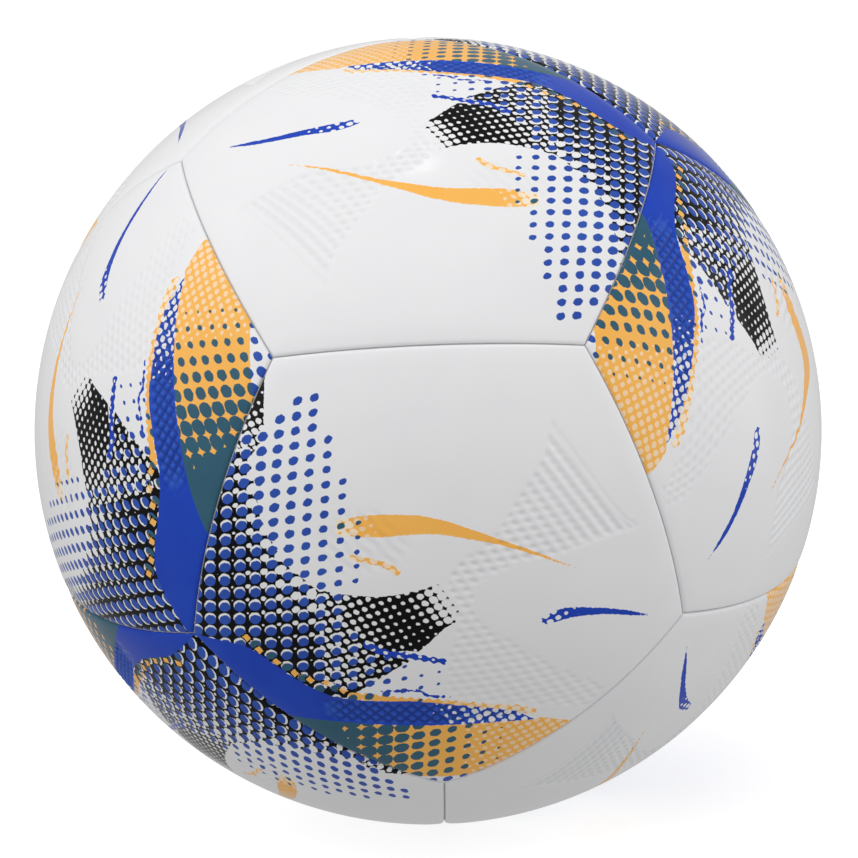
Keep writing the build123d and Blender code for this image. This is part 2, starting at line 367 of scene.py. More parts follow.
# Places where the film was drawn out as the panel was formed: (place in the print, how far it moved)
PRINT_TUGS = {
    3: (((26, -10), (-5.5, 0)), ((31, 1), (4.5, -2.3))),
    5: (((24, -11.5), (-2.2, 0.5)), ((52, -17), (7, -1.7))),
    6: (
        ((24, -39), (6.2, 0)), ((24, -11), (-3.6, 1.4)), ((50, -17), (1.6, -1.5)),
        ((0, 19), (0, 8)), ((16, 9), (0, 4)), ((33, 0), (6.5, -3)),
    ),
    11: (((-36, -24), (0, -3.2)), ((-46, -18), (0, -3))),
}
TUG_REACH = 9.0
# On the lower front panel the dots' rows spread out towards the bottom: (y, y on the plain lattice) in mm
STRETCHED_PANEL = 9
STRETCHED_ROWS = (
    (-70, -61.6), (-62.3, -55.6), (-48.9, -45.2), (-41.4, -38.3), (-27, -26), (-20, -19.1), (0, 0), (60, 60),
)
EDGE_BARE = 0.1  # the ink stops this far from the seam's middle


def shifted_print(places, number):
    """The place in the print of each point of a panel."""
    shifted = places - PRINT_SHIFTS.get(number, (0, 0))
    printed = shifted.copy()
    for place, move in PRINT_TUGS.get(number, ()):
        reach = np.linalg.norm(shifted - place - np.array(move), axis=1) / TUG_REACH
        printed -= np.exp(-(reach**2) / 2)[:, None] * move
    return printed


def ink(at, dots_at, field_slip):
    """The print at each point: how far inside each ink it is in mm, and the sizes of dots and holes."""
    x, y = at.T
    ragged_wave = np.sin(x * 2 * math.pi / RAGGED_PITCH)

    def brushed(line, half_width, raggedness):
        return stroke(at, line, half_width) + raggedness * ragged_wave

    field = inside(at, RIBBON_BOTTOM[:-1][::-1], FIELD_RIGHT)
    field = np.minimum(field, y - FIELD_BOTTOM)
    strip = inside(at, STRIP)
    star = star_depth(at)
    radius = dot_radius(dots_at, field_slip)
    in_dot = radius - np.linalg.norm(dots_at - DOTS.nearest(dots_at), axis=1)
    beside_stars = np.minimum(strip, in_dot - DOT_RIM)
    fringe = strip - FRINGE_INSET - FRINGE_DEPTH * np.cos(x * 2 * math.pi / FRINGE_PITCH)
    strip = np.where(x < STARS_RIGHT, np.maximum(star, beside_stars), fringe)
    swoosh = inside(at, SWOOSH_TOP, SWOOSH_BOTTOM)
    ribbon = inside(at, RIBBON_TOP, RIBBON_BOTTOM)
    blue_swoosh = inside(at, BLUE_SWOOSH_TOP, BLUE_SWOOSH_BOTTOM)
    blue_strokes = [brushed(*blue_stroke) for blue_stroke in BLUE_STROKES]
    return {
        "orange": np.maximum.reduce([swoosh, brushed(*ORANGE_DASH), field, strip]),
        "black": np.minimum(inside(at, BLACK_ZONE), -star),
        "blue": np.maximum.reduce([ribbon, blue_swoosh, *blue_strokes]),
        "dot": np.where(star > -STAR_RIM, NO_DOT, in_steps(radius, DOTS)),
        "gap": in_steps(gap_radius(at), DOTS),
        "hole": in_steps(hole_radius(at), HOLES),
        # How far into the quilting the painted highlight on the ribbon's cells reaches, in mm
        "quilt": inside(at, QUILT) - table(x, QUILT_START),
    }


# ---------------------------------------------------------------------------------------------------------
# The embossing: how deep the cover is pressed in, in mm
# ---------------------------------------------------------------------------------------------------------
EMBOSS_DEPTH = 0.6
EMBOSS_FROM_SEAM = (0.8, 3.0)  # it sets in between these distances from the seam
EMBOSS_FROM_VALVE = (6, 12)  # and from the valve's axis


def ribs(at, heading, pitch, bend, bend_pitch):
    """Ribs from 0 to 1 that run along heading, in degrees, and waver by bend mm."""
    angle = math.radians(heading)
    along = at @ (math.cos(angle), math.sin(angle))
    across = at @ (-math.sin(angle), math.cos(angle)) + bend * np.sin(along * 2 * math.pi / bend_pitch)
    return 0.5 + 0.5 * np.cos(across * 2 * math.pi / pitch)


# The pressed web: a pointed sail, a narrow waist and a wide foot beside the ribbon
WEB = (
    *curve((28, 36.5), (31, 30.5), (35.5, 23.5), (40.5, 16), (44.5, 11), (47.5, 7.6)),
    *curve(
        (40, 6.8), (33, 5.6), (28, 4.4), (20, 3.6), (12, 1.2), (9, -1.5), (8.5, -6), (10, -10), (20, -18),
    ),
    *curve((27, -24.5), (37, -31.5), (43, -38), (38, -41.5), (27, -38), (15, -34.5), (5, -32), (1, -29)),
    *curve((1, -22), (2, -16), (3.5, -10), (2, 2), (9, 8.5), (13, 11.5), (18, 18.5), (24, 26.5), (26, 31)),
)
WEB_BORDER = curve(
    (28, 36), (32, 29.5), (36.3, 23), (41.2, 15.5), (45.2, 10.5), (47.5, 8.3), (40, 7.5), (28, 5.2),
)
WEB_PITS = Lattice((1.35, -2.0), (3.0, 0.15), (34.0, 8.0))
ACROSS_SAIL = (0.87, 0.5)
WEB_BREAKS = ((24, 0.5), (36, 0.15))  # how far the valleys break up, against the distance across the sail


def web_depth(at):
    """Valleys from 0 to 1 between the web's ribs, broken into pits away from the sail's right edge."""
    along, across = (WEB_PITS.inverse @ (at - WEB_PITS.origin).T) * 2 * math.pi
    broken = table(at[:, 0] * ACROSS_SAIL[0] + at[:, 1] * ACROSS_SAIL[1], WEB_BREAKS)
    return (0.5 + 0.5 * np.cos(across)) * (1 - broken + broken * np.cos(along))


QUILT = ((-32, -31), (-24, -31.4), (0, -32), (20, -37), (23, -40), (-30, -40))
QUILT_START = ((-31, 3), (-24, 0))  # the painted highlight on the quilting's cells sets in over this stretch
QUILT_CELLS = Lattice((1.45, 1.5), (1.45, -1.5), (0.0, -36.0))
QUILT_NARROWING = 1.5  # over 1 makes the valleys between the cells narrower
SLATS = ((-30, 10), (-22, 19), (-12, 20), (-4, 10), (-7, 3), (-24, 0))


def quilt_depth(at):
    """Valleys from 0 to 1 between the ribbon's small diamond cells."""
    turns = (QUILT_CELLS.inverse @ (at - QUILT_CELLS.origin).T) * 2 * math.pi
    return (0.5 - 0.5 * np.cos(turns).min(axis=0)) ** QUILT_NARROWING


# How strong each pattern is, the web's against y and the quilting's against x
WEB_STRENGTH = ((-6, 0.5), (5, 0.75))
BORDER_STRENGTH = 0.55
SLAT_STRENGTH = 0.4
QUILT_STRENGTH = ((-31, 0), (-24, 0.9))
# How far inside its outline each pattern has its full strength, in mm
WEB_FADE = 1.2
BORDER_FADE = 0.9
SLAT_FADE = 4.0
QUILT_FADE = 1.5


def emboss(at):
    """How deep each point is pressed in, from 0 to 1."""
    x, y = at.T
    slats = 1 - ribs(at, heading=-48, pitch=2.7, bend=0.25, bend_pitch=5.0)
    # How far inside each pattern the points are, its depths, its strength and its fade
    patterns = (
        (inside(at, WEB), web_depth(at), table(y, WEB_STRENGTH), WEB_FADE),
        (stroke(at, WEB_BORDER, half_width=(0.5, 0.5)), 1.0, BORDER_STRENGTH, BORDER_FADE),
        (inside(at, SLATS), slats, SLAT_STRENGTH, SLAT_FADE),
        (inside(at, QUILT), quilt_depth(at), table(x, QUILT_STRENGTH), QUILT_FADE),
    )
    depth = np.zeros(len(at))
    for within, pressed, strength, fade in patterns:
        depth = np.maximum(depth, strength * smooth_step(within, 0, fade) * pressed)
    return depth


# ---------------------------------------------------------------------------------------------------------
# The cover panels' meshes
# ---------------------------------------------------------------------------------------------------------
def side_directions(axes, inset, count):
    """Directions of points round a panel, inset mm inside its seams: count points for each side."""
    outward, along, across = axes
    level = math.cos(math.pi / SIDES) * math.cos(MIDDLE_TO_EDGE)
    rise = math.sin(MIDDLE_TO_EDGE)
    polar = math.atan2(rise, level) - math.asin(math.sin(inset / BALL_RADIUS) / math.hypot(level, rise))
    turns = np.arange(SIDES + 1) * 2 * math.pi / SIDES
    corners = math.cos(polar) * outward + math.sin(polar) * (
        np.cos(turns)[:, None] * along + np.sin(turns)[:, None] * across
    )
    shares = (np.arange(count) / count)[:, None]
    return np.concatenate([start * (1 - shares) + end * shares for start, end in zip(corners, corners[1:])])


def edge_profile():
    """(distance from the seam, how far the rolled edge lies below the ball), from the edge zone out."""
    zone = np.linspace(EDGE_ZONE, HALF_SEAM + EDGE_ROUND, ZONE_RINGS + 1)[1:]
    turns = np.linspace(0, math.pi / 2, ROUND_RINGS + 1)[1:]
    rolled = HALF_SEAM + EDGE_ROUND * (1 - np.sin(turns))
    drops = EDGE_DROP * (1 - np.cos(turns))
    return [(distance, 0.0) for distance in zone] + list(zip(rolled, drops))


def shoulder(distance):
    """The soft fall of a panel towards its seams, in mm."""
    return EDGE_SHOULDER * (1 - np.clip(distance / SHOULDER_WIDTH, 0, 1)) ** 2


def seam_distance(directions, axes):
    """Arc length from each direction to the panel's nearest seam, in mm."""
    outward, along, across = axes
    nearest = np.full(len(directions), np.inf)
    for side in range(SIDES):
        turn = (side + 0.5) * 2 * math.pi / SIDES
        level = math.cos(turn) * along + math.sin(turn) * across
        seam = math.cos(MIDDLE_TO_EDGE) * level - math.sin(MIDDLE_TO_EDGE) * outward
        nearest = np.minimum(nearest, -BALL_RADIUS * np.arcsin(directions @ seam))
    return nearest


def print_place(directions, axes):
    """x and y on the flat print for each direction, in mm."""
    outward, along, across = axes
    out = np.clip(directions @ outward, -1, 1)
    flat = np.stack([directions @ along, directions @ across], axis=1)
    reach = np.linalg.norm(flat, axis=1, keepdims=True)
    flat = flat / np.maximum(reach, TINY) * np.arccos(out)[:, None] * BALL_RADIUS
    turn = np.array(
        [[math.cos(PRINT_TURN), math.sin(PRINT_TURN)], [-math.sin(PRINT_TURN), math.cos(PRINT_TURN)]]
    )
    return flat @ turn


class Shell:
    """The points and triangles of a surface, made of rings that run anticlockwise seen from outside."""

    def __init__(self):
        self.points = []
        self.faces = []
        self.count = 0

    def ring(self, points):
        """Adds points and returns their numbers."""
        self.points.append(points)
        self.count += len(points)
        return np.arange(self.count - len(points), self.count)

    def fan(self, middle, ring, flip=False):
        faces = np.stack([np.full(len(ring), middle[0]), ring, np.roll(ring, -1)], axis=1)
        self.faces.append(faces[:, ::-1] if flip else faces)

    def rows(self, near, far):
        """Triangles between a row round the panel and the next, which has one point more on each side."""
        step = len(near) // SIDES
        for side in range(SIDES):
            start = np.take(near, np.arange(step + 1) + side * step, mode="wrap")
            end = np.take(far, np.arange(step + 2) + side * (step + 1), mode="wrap")
            self.faces.append(np.stack([start, end[:-1], end[1:]], axis=1))
            self.faces.append(np.stack([start[:-1], end[1:-1], start[1:]], axis=1))

    def strip(self, near, far):
        """Triangles between two rings of the same count."""
        near_next, far_next = np.roll(near, -1), np.roll(far, -1)
        self.faces.append(np.stack([near, far, far_next], axis=1))
        self.faces.append(np.stack([near, far_next, near_next], axis=1))

    def thin_out(self, fine, coarse):
        """Triangles from a ring to one with a whole number of times fewer points."""
        share = len(fine) // len(coarse)
        spread = (np.arange(len(fine)) + share // 2) // share % len(coarse)
        self.faces.append(np.stack([fine, coarse[spread], np.roll(fine, -1)], axis=1))
        turned = np.flatnonzero(spread != np.roll(spread, -1))
        corners = [np.roll(fine, -1)[turned], coarse[spread[turned]], coarse[np.roll(spread, -1)[turned]]]
        self.faces.append(np.stack(corners, axis=1))


def circle_directions(axes, radius, count):
    """Directions of points on a circle round the panel's middle."""
    outward, along, across = axes
    turns = np.arange(count) * 2 * math.pi / count
    level = np.cos(turns)[:, None] * along + np.sin(turns)[:, None] * across
    angle = radius / BALL_RADIUS
    return math.cos(angle) * outward + math.sin(angle) * level


def cover_rings(axes, holed):
    """The outer rings of a cover panel, from its middle out: (directions, how far below the ball)."""
    outward = axes[0]
    rings = [(outward[None], 0.0)]
    if holed:
        rings = []
        for turn in np.linspace(math.pi / 2, 0, ROUND_RINGS + 1):
            radius = VALVE_HOLE_RADIUS + HOLE_ROUND * (1 - math.sin(turn))
            drop = HOLE_ROUND * (1 - math.cos(turn))
            rings.append((circle_directions(axes, radius, SIDES * HOLE_ROWS), drop))
    for row in range(HOLE_ROWS if holed else 1, ROWS + 1):
        sides = side_directions(axes, EDGE_ZONE, row)
        rings.append((outward * (1 - row / ROWS) + sides * (row / ROWS), 0.0))
    rings += [(side_directions(axes, distance, ROWS), drop) for distance, drop in edge_profile()]
    return [(unit(directions), drop) for directions, drop in rings]


def cover_shell(number):
    """A cover panel's surface, its points' places on the panel and the number of its outer faces.

    Also what its outer points have: their place in the print, how deep they are pressed in and how far they
    are from the seam.
    """
    axes = PANELS[number - 1]
    holed = number == VALVE_PANEL
    shell = Shell()
    numbers, places, printed, pressed, from_seam = [], [], [], [], []
    for directions, drop in cover_rings(axes, holed):
        places.append(print_place(directions, axes))
        printed.append(shifted_print(places[-1], number))
        from_seam.append(seam_distance(directions, axes))
        pressed.append(emboss(printed[-1]) * smooth_step(from_seam[-1], *EMBOSS_FROM_SEAM))
        if holed:
            from_middle = np.arccos(np.clip(directions @ axes[0], -1, 1)) * BALL_RADIUS
            pressed[-1] *= smooth_step(from_middle, *EMBOSS_FROM_VALVE)
        radius = BALL_RADIUS - drop - shoulder(from_seam[-1]) - EMBOSS_DEPTH * pressed[-1]
        numbers.append(shell.ring(directions * radius[:, None]))
    for near, far in zip(numbers, numbers[1:]):
        if len(near) == len(far):
            shell.strip(near, far)
        elif len(near) == 1:
            shell.fan(near, far)
        else:
            shell.rows(near, far)
    outer_faces = sum(len(faces) for faces in shell.faces)
    outer = [np.concatenate(values) for values in (printed, pressed, from_seam)]

    last = shell.ring(unit(side_directions(axes, HALF_SEAM, ROWS)) * COVER_INNER_RADIUS)
    shell.strip(numbers[-1], last)
    places.append(places[-1] * WALL_SPREAD)
    inner_rim = side_directions(axes, HALF_SEAM + INNER_RIM_INSET, HOLE_ROWS)
    hole = circle_directions(axes, VALVE_HOLE_RADIUS if holed else INNER_FAN_RADIUS, SIDES * HOLE_ROWS)
    for share in np.linspace(0, 1, INNER_RINGS + 1):
        directions = unit(inner_rim * (1 - share) + hole * share)
        ring = shell.ring(directions * COVER_INNER_RADIUS)
        places.append(print_place(directions, axes))
        if len(last) == len(ring):
            shell.strip(last, ring)
        else:
            shell.thin_out(last, ring)
        last = ring
    if holed:
        shell.strip(last, numbers[0])
    else:
        middle = shell.ring(axes[0][None] * COVER_INNER_RADIUS)
        places.append(np.zeros((1, 2)))
        shell.fan(middle, last, flip=True)
    return shell, np.concatenate(places), outer_faces, outer


SHARP_ANGLE = math.radians(50)


def new_mesh(name, points, faces):
    """A smooth-shaded object of a mesh given in millimetres."""
    mesh = bpy.data.meshes.new(name)
    mesh.vertices.add(len(points))
    mesh.vertices.foreach_set("co", np.asarray(points * MM, np.float32).ravel())
    mesh.loops.add(faces.size)
    mesh.loops.foreach_set("vertex_index", faces.astype(np.int32).ravel())
    mesh.polygons.add(len(faces))
    mesh.polygons.foreach_set("loop_start", np.arange(0, faces.size, faces.shape[1], dtype=np.int32))
    mesh.update(calc_edges=True)
    mesh.validate()
    mesh.shade_smooth()
    mesh.set_sharp_from_angle(angle=SHARP_ANGLE)
    piece = bpy.data.objects.new(name, mesh)
    bpy.context.scene.collection.objects.link(piece)
    return piece


def add_field(mesh, name, values):
    """A number, or a place on the print, at each point, for the material to read."""
    kind = "FLOAT" if values.ndim == 1 else "FLOAT_VECTOR"
    data = mesh.attributes.new(name, kind, "POINT").data
    data.foreach_set("value" if values.ndim == 1 else "vector", values.astype(np.float32).ravel())


BAKE_SCALE = 1 / 125.5  # the print's mm to the side of the bake square
FRONT_PLACE = (0.5, 0.549)
BACK_SCALE = 0.22
BACK_PLACE = (0.875, 0.125)
WALL_SPREAD = 1.08  # the walls lie round the back, this much further out


def add_bake_layout(mesh, places, outer_faces):
    """Lays the outer face over the whole bake square, and the walls and the back in its free corner."""
    front = places * BAKE_SCALE + FRONT_PLACE
    loops = np.empty(len(mesh.loops), np.int32)
    mesh.loops.foreach_get("vertex_index", loops)
    layer = mesh.uv_layers.new(name="OFBake")
    back_of_face = np.repeat(np.arange(len(mesh.polygons)) >= outer_faces, 3)
    back = places * BAKE_SCALE * BACK_SCALE + BACK_PLACE
    laid = np.where(back_of_face[:, None], back[loops], front[loops])
    layer.uv.foreach_set("vector", laid.astype(np.float32).ravel())


# ---------------------------------------------------------------------------------------------------------
# Materials
# ---------------------------------------------------------------------------------------------------------
def linear(red, green, blue):
    """A colour given as 0 to 255 on a screen, as the shader wants it."""
    channels = [c / 255 for c in (red, green, blue)]
    return tuple(c / 12.92 if c <= 0.04045 else ((c + 0.055) / 1.055) ** 2.4 for c in channels) + (1.0,)


class Shader:
    """Short calls for a node material. Textures sit on the object's own coordinates, which are in metres."""

    def __init__(self, name, **settings):
        self.material = bpy.data.materials.new(name)
        self.material.use_nodes = True
        self.tree = self.material.node_tree
        self.surface = self.tree.nodes["Principled BSDF"]
        for socket, value in settings.items():
            self.surface.inputs[socket.replace("_", " ")].default_value = value
        self.place = self.node("ShaderNodeTexCoord").outputs["Object"]

    def node(self, kind, inputs=(), **properties):
        made = self.tree.nodes.new(kind)
        for key, value in properties.items():
            setattr(made, key, value)
        for socket, value in dict(inputs).items():
            if isinstance(value, bpy.types.NodeSocket):
                self.tree.links.new(value, made.inputs[socket])
            else:
                made.inputs[socket].default_value = value
        return made

    def math(self, operation, *values):
        return self.node("ShaderNodeMath", dict(enumerate(values)), operation=operation).outputs[0]

    def vector(self, operation, *values, out=0):
        return self.node("ShaderNodeVectorMath", dict(enumerate(values)), operation=operation).outputs[out]

    def mix(self, amount, low, high):
        inputs = {0: amount, 6: low, 7: high}
        return self.node("ShaderNodeMix", inputs, data_type="RGBA").outputs[2]

    def ramp(self, value, low, high, to_low=0.0, to_high=1.0):
        inputs = {"Value": value, "From Min": low, "From Max": high, "To Min": to_low, "To Max": to_high}
        return self.node("ShaderNodeMapRange", inputs).outputs[0]

    def noise(self, scale, detail):
        inputs = {"Vector": self.place, "Scale": scale, "Detail": detail}
        return self.node("ShaderNodeTexNoise", inputs).outputs[0]

    def cells(self, scale):
        return self.node("ShaderNodeTexVoronoi", {"Vector": self.place, "Scale": scale}).outputs["Distance"]

    def waves(self, scale, direction, distortion):
        inputs = {"Vector": self.place, "Scale": scale, "Distortion": distortion}
        return self.node("ShaderNodeTexWave", inputs, bands_direction=direction).outputs["Fac"]

    def bump(self, height, distance, strength):
        """Bumps of a height given in mm."""
        inputs = {"Height": height, "Distance": distance * MM, "Strength": strength}
        self.link("Normal", self.node("ShaderNodeBump", inputs).outputs[0])

    def link(self, socket, value):
        self.tree.links.new(value, self.surface.inputs[socket])

    def field(self, name):
        return self.node("ShaderNodeAttribute", attribute_name=name).outputs["Fac"]


INK_EDGE = 0.07  # half the width over which an ink's edge fades, in mm
INK_WOBBLE = 0.3  # how unsteady the inks' edges are, in mm
WOBBLE_SCALE = 1100  # of the noise that moves them
CRESCENT_SWELL = 0.015  # how much larger the white behind a dot is, in lattice steps
PRESSED_SHADE = 0.28  # how far the bare cover is darkened where it is pressed in deepest: painted shade in the embossing's hollows
INK_GLOSS = 0.05  # the inks are this much less rough than the bare cover
INK_GRAIN = 0.35  # how far the inks stand up, as a share of the grain's depth


def lattice_distance(shader, place, lattice):
    """Distance to the nearest dot of a lattice, in lattice steps."""
    offset = 0.5 - lattice.inverse @ lattice.origin
    steps = [
        shader.math("ADD", shader.vector("DOT_PRODUCT", place, (*row, 0), out=1), shift)
        for row, shift in zip(lattice.inverse, offset)
    ]
    cell = shader.node("ShaderNodeCombineXYZ", {"X": steps[0], "Y": steps[1]}).outputs[0]
    from_dot = shader.vector("SUBTRACT", shader.vector("FRACTION", cell), (0.5, 0.5, 0))
    return shader.vector("LENGTH", from_dot, out=1)


def cover_material():
    """White polyurethane with the halftone print, from the fields that the panels' points hold."""
    shader = Shader("cover_print", Specular_IOR_Level=0.1)
    place = shader.node("ShaderNodeAttribute", attribute_name="print_place").outputs["Vector"]
    shake = shader.noise(WOBBLE_SCALE, detail=2.0)
    wobble = shader.ramp(shake, 0.25, 0.75, to_low=-INK_WOBBLE / 2, to_high=INK_WOBBLE / 2)

    def covered(field_name):
        """1 where that ink lies, 0 elsewhere."""
        edge = shader.math("ADD", shader.field(field_name), wobble)
        return shader.ramp(edge, -INK_EDGE, INK_EDGE)

    def spots(lattice, radius):
        """1 inside the lattice's dots. The radius is in lattice steps."""
        blur = INK_EDGE / lattice.size
        reach = shader.math("SUBTRACT", radius, lattice_distance(shader, place, lattice))
        shaken = shader.math("MULTIPLY_ADD", wobble, 1 / lattice.size, reach)
        return shader.ramp(shaken, -blur, blur)

    def both(*amounts):
        product = amounts[0]
        for amount in amounts[1:]:
            product = shader.math("MULTIPLY", product, amount)
        return product

    def without(amount):
        return shader.math("SUBTRACT", 1.0, amount)

    dot, gap = shader.field("dot"), shader.field("gap")
    dots = spots(DOTS, dot)
    holes = spots(HOLES, shader.field("hole"))
    crescents = spots(CRESCENTS, shader.math("ADD", dot, CRESCENT_SWELL))
    gaps = spots(DOT_GAPS, gap)
    orange = covered("orange")
    black = both(covered("black"), without(holes), without(crescents), without(gaps))
    solid_blue = both(covered("blue"), without(holes))
    blue = shader.math("MAXIMUM", solid_blue, dots)

    mottle = shader.noise(scale=60, detail=4.0)
    base = shader.mix(mottle, linear(237, 237, 239), linear(243, 243, 244))
    pressed = shader.field("pressed")
    # Painted shade: the bare cover is darkened towards this grey where it is pressed in, standing in for
    # shade in the hollows
    painted_hollow_shade = linear(214, 216, 218)
    base = shader.mix(both(pressed, PRESSED_SHADE), base, painted_hollow_shade)
    orange_ink = shader.mix(mottle, linear(255, 182, 82), linear(255, 196, 102))
    hole_colour = linear(252, 238, 216)
    paleness = shader.ramp(shader.field("hole"), 0.37, 0.47, to_low=0.6)  # small holes stay a little orange
    field_ink = shader.mix(both(holes, paleness), orange_ink, hole_colour)
    flat_blue = shader.mix(mottle, linear(24, 56, 172), linear(40, 82, 198))
    # Painted highlight: over the ribbon's quilting the blue ink is lightened, standing in for light caught
    # on the raised cells
    quilt_highlight_blue = linear(66, 122, 222)
    valley_shade_blue = linear(16, 32, 118)
    blue_with_painted_highlight = shader.mix(shader.ramp(shader.field("quilt"), 0, 1.5, to_high=0.3), flat_blue, quilt_highlight_blue)
    # Painted shade: the blue ink darkens where the cover is pressed in, standing in for shade in the valleys
    # between the cells
    blue_ink_and_painted_light = shader.mix(shader.ramp(pressed, 0.2, 0.8, to_high=0.6), blue_with_painted_highlight, valley_shade_blue)
    dot_blue = shader.mix(mottle, linear(40, 70, 160), linear(58, 96, 188))
    teal_ink = shader.mix(mottle, linear(44, 84, 104), linear(64, 108, 128))
    dot_ink = shader.mix(orange, dot_blue, teal_ink)
    black_ink = linear(9, 10, 12)
    colour = shader.mix(orange, base, field_ink)
    colour = shader.mix(black, colour, black_ink)
    colour = shader.mix(blue, colour, shader.mix(solid_blue, dot_ink, blue_ink_and_painted_light))
    shader.link("Base Color", colour)
    inked = shader.math("MAXIMUM", blue, shader.math("MAXIMUM", orange, black))
    bare_roughness = shader.ramp(mottle, 0.3, 0.7, to_low=0.17, to_high=0.23)
    shader.link("Roughness", shader.math("MULTIPLY_ADD", inked, -INK_GLOSS, bare_roughness))
    grain = shader.math("ADD", shader.cells(scale=900), shader.math("MULTIPLY", inked, INK_GRAIN))
    shader.bump(grain, distance=0.02, strength=0.5)
    return shader.material


def cover_panel(number, material):
    """One cover panel: a rolled-edge shell, embossed and printed."""
    shell, places, outer_faces, (printed, pressed, from_seam) = cover_shell(number)
    points = np.concatenate(shell.points)
    piece = new_mesh(f"printed_cover_{number:02d}", points, np.concatenate(shell.faces))
    mesh = piece.data
    dots_at = places - PRINT_SHIFTS.get(number, (0, 0)) - DOT_SHIFTS.get(number, (0, 0))
    if number == STRETCHED_PANEL:
        dots_at[:, 1] = table(dots_at[:, 1], STRETCHED_ROWS)
    fields = ink(printed, dots_at[:len(printed)], FIELD_SLIPS.get(number, 0.0))
    for name in ("orange", "black", "blue"):
        fields[name] = np.minimum(fields[name], from_seam - EDGE_BARE)
    fields["dot"] = np.where(from_seam < EDGE_BARE, NO_DOT, fields["dot"])
    fields["pressed"] = pressed
    for name, values in fields.items():
        add_field(mesh, name, np.pad(values, (0, shell.count - len(values)), constant_values=NO_INK))
    add_field(mesh, "print_place", np.pad(dots_at, ((0, 0), (0, 1))))
    add_bake_layout(mesh, places, outer_faces)
    mesh.materials.append(material)
    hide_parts(f"cover_panel_{number:02d}")
    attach(piece, "root")


# ---------------------------------------------------------------------------------------------------------
# Materials of the CAD pieces under the cover, and of the valve
# ---------------------------------------------------------------------------------------------------------
def foam_material():
    """Fine-celled EVA foam."""
    shader = Shader("eva_foam", Roughness=0.85)
    cells = shader.cells(scale=1400)
    tint = shader.mix(shader.noise(scale=90, detail=3.0), linear(205, 205, 196), linear(228, 228, 220))
    shader.link("Base Color", shader.mix(shader.ramp(cells, 0.1, 0.6), linear(176, 176, 166), tint))
    shader.bump(cells, distance=0.15, strength=0.8)
    return shader.material


def cloth_material():
    """Plain-woven cotton and polyester backing."""
    shader = Shader("backing_weave", Roughness=0.9, Sheen_Weight=0.2)
    weave = shader.math("MULTIPLY", shader.waves(280, "X", 0.6), shader.waves(280, "Z", 0.6))
    shader.link("Base Color", shader.mix(weave, linear(170, 165, 150), linear(232, 228, 215)))
    shader.bump(weave, distance=0.2, strength=0.8)
    return shader.material


def wound_material():
    """Nylon thread wound over the bladder in every direction, bound with latex."""
    shader = Shader("wound_thread", Roughness=0.6)
    threads = shader.math(
        "MAXIMUM",
        shader.math("MAXIMUM", shader.waves(230, "X", 5.0), shader.waves(210, "DIAGONAL", 4.0)),
        shader.waves(220, "Z", 6.0),
    )
    shader.link("Base Color", shader.mix(threads, linear(150, 140, 112), linear(226, 217, 190)))
    shader.bump(threads, distance=0.25, strength=0.9)
    return shader.material


def rubber_material(name, dark, light, roughness, grain):
    """Moulded rubber with a fine grain and a dusty, uneven gloss."""
    shader = Shader(name, Roughness=roughness)
    blotches = shader.noise(scale=120, detail=4.0)
    shader.link("Base Color", shader.mix(blotches, dark, light))
    gloss = shader.ramp(blotches, 0.3, 0.7, to_low=roughness - 0.08, to_high=roughness + 0.1)
    shader.link("Roughness", gloss)
    shader.bump(shader.noise(grain, detail=3.0), distance=0.05, strength=0.6)
    return shader.material


def bond_material():
    """The grey heat-set adhesive at the bottom of the seams, slightly uneven."""
    shader = Shader("seam_bond_grey", Roughness=0.5)
    blotches = shader.noise(scale=300, detail=4.0)
    shader.link("Base Color", shader.mix(blotches, linear(172, 173, 174), linear(200, 201, 202)))
    shader.link("Roughness", shader.ramp(blotches, 0.3, 0.7, to_low=0.4, to_high=0.62))
    shader.bump(shader.noise(scale=700, detail=2.0), distance=0.06, strength=0.7)
    return shader.material


def finish_nodes():
    """Gives each CAD piece that stays its own kind of surface."""
    materials = {
        "foam_pad": foam_material(),
        "backing_cloth": cloth_material(),
        "seam_bond": bond_material(),
        "carcass": wound_material(),
        "bladder": rubber_material("butyl_rubber", linear(20, 20, 21), linear(38, 38, 40), 0.5, 500),
        "valve_patch": rubber_material("patch_rubber", linear(30, 30, 31), linear(48, 48, 50), 0.6, 700),
        "valve_body": rubber_material("valve_rubber", linear(24, 24, 25), linear(40, 40, 42), 0.45, 900),
        "valve_plug": rubber_material("plug_rubber", linear(16, 16, 17), linear(30, 30, 32), 0.38, 1100),
        "valve_collar": rubber_material("collar_rubber", linear(52, 53, 55), linear(74, 75, 78), 0.42, 900),
    }
    for name, node in NODES.items():
        kind = next((kind for kind in materials if name.startswith(kind)), None)
        if kind:
            for place in node.material_slots:
                place.material = materials[kind]


# ---------------------------------------------------------------------------------------------------------
# Studio: floor, backdrop, lights and camera
# ---------------------------------------------------------------------------------------------------------
FLOOR_Z = -BALL_RADIUS * MM
FLOOR_RADIUS = 9.0
RIM_BEND = 3.0
FLOOR_SEGMENTS = 64
FLOOR_RING_RADII = (0.5, 1.5, 4.0)
RIM_STEPS = 12


